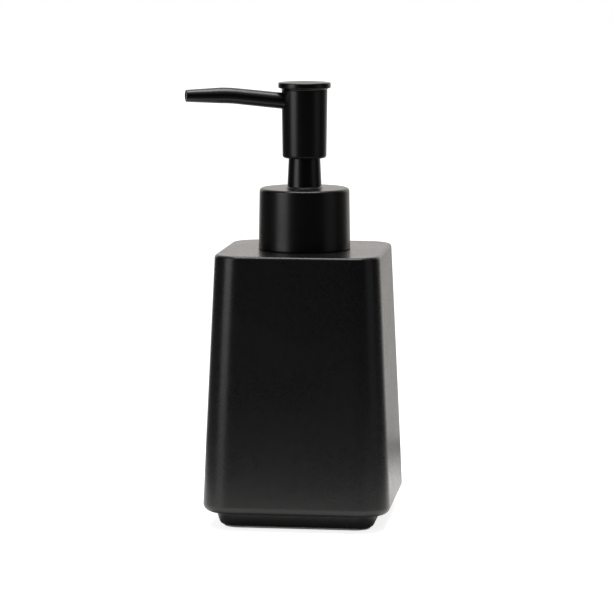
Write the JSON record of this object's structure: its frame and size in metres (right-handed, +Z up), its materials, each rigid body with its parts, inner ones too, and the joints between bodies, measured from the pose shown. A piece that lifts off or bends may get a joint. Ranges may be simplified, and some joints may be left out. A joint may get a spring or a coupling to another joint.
{
  "type": "soap pump dispenser",
  "caption": "Square tapered counter-top bottle on a set-back foot, with a round screw collar, a sprung push head and a long thin bent spout.",
  "frame": {"origin": "centre of the base pad's underside, on the pump's axis, where the dispenser stands", "axes": "+Z up along the pump's axis; the bottle's front face looks to -Y; at rest the spout points to -X, turned 20 degrees towards the front"},
  "size_m": [0.0833, 0.0748, 0.1752],
  "materials": {
    "glaze": "satin black glaze on cast stoneware",
    "pad": "light grey closed-cell foam rubber",
    "pump_black": "satin black moulding",
    "inner_white": "natural white moulding",
    "gasket_white": "soft white foamed polyethylene",
    "tube_clear": "translucent polyethylene tube",
    "spring_steel": "bright stainless wire",
    "ball_steel": "polished stainless ball"
  },
  "bodies": {
    "bottle": {"bottle": "glaze", "base_pad": "pad", "neck_insert": "inner_white"},
    "pump": {"pump_housing": "inner_white", "gasket": "gasket_white", "chaplet": "inner_white", "guide_sleeve": "pump_black", "ball_cage": "inner_white", "dip_tube": "tube_clear", "return_spring": "spring_steel"},
    "collar": {"collar_shell": "pump_black", "collar_liner": "inner_white"},
    "stem": {"stem": "inner_white", "stem_plug": "inner_white"},
    "piston": {"piston": "inner_white"},
    "head": {"head_barrel": "pump_black", "head_core": "inner_white", "head_cap": "pump_black", "spout": "pump_black"},
    "inlet_ball": {"inlet_ball": "ball_steel"}
  },
  "joints": [
    {"name": "pump_lift", "type": "slide", "parent": "bottle", "child": "pump", "axis": [0, 0, 1], "range_m": [0, 0.00846]},
    {"name": "collar_turn", "type": "hinge", "parent": "pump", "child": "collar", "pos_m": [0, 0, 0.12], "axis": [0, 0, 1], "range_deg": [0, 720]},
    {"name": "press", "type": "slide", "parent": "pump", "child": "stem", "axis": [0, 0, -1], "range_m": [0, 0.0115], "stiffness_N_per_m": 900, "springref_m": -0.01, "deforming": ["return_spring"]},
    {"name": "head_swivel", "type": "hinge", "parent": "stem", "child": "head", "pos_m": [0, 0, 0.16], "axis": [0, 0, 1], "continuous": true},
    {"name": "piston_slip", "type": "slide", "parent": "stem", "child": "piston", "axis": [0, 0, 1], "range_m": [0, 0.0008]},
    {"name": "ball_lift", "type": "slide", "parent": "pump", "child": "inlet_ball", "axis": [0, 0, 1], "range_m": [0, 0.0018]}
  ],
  "couplings": [
    {"joint": "collar_turn", "follows": "pump_lift", "rad_per_m": 1484.3}
  ]
}
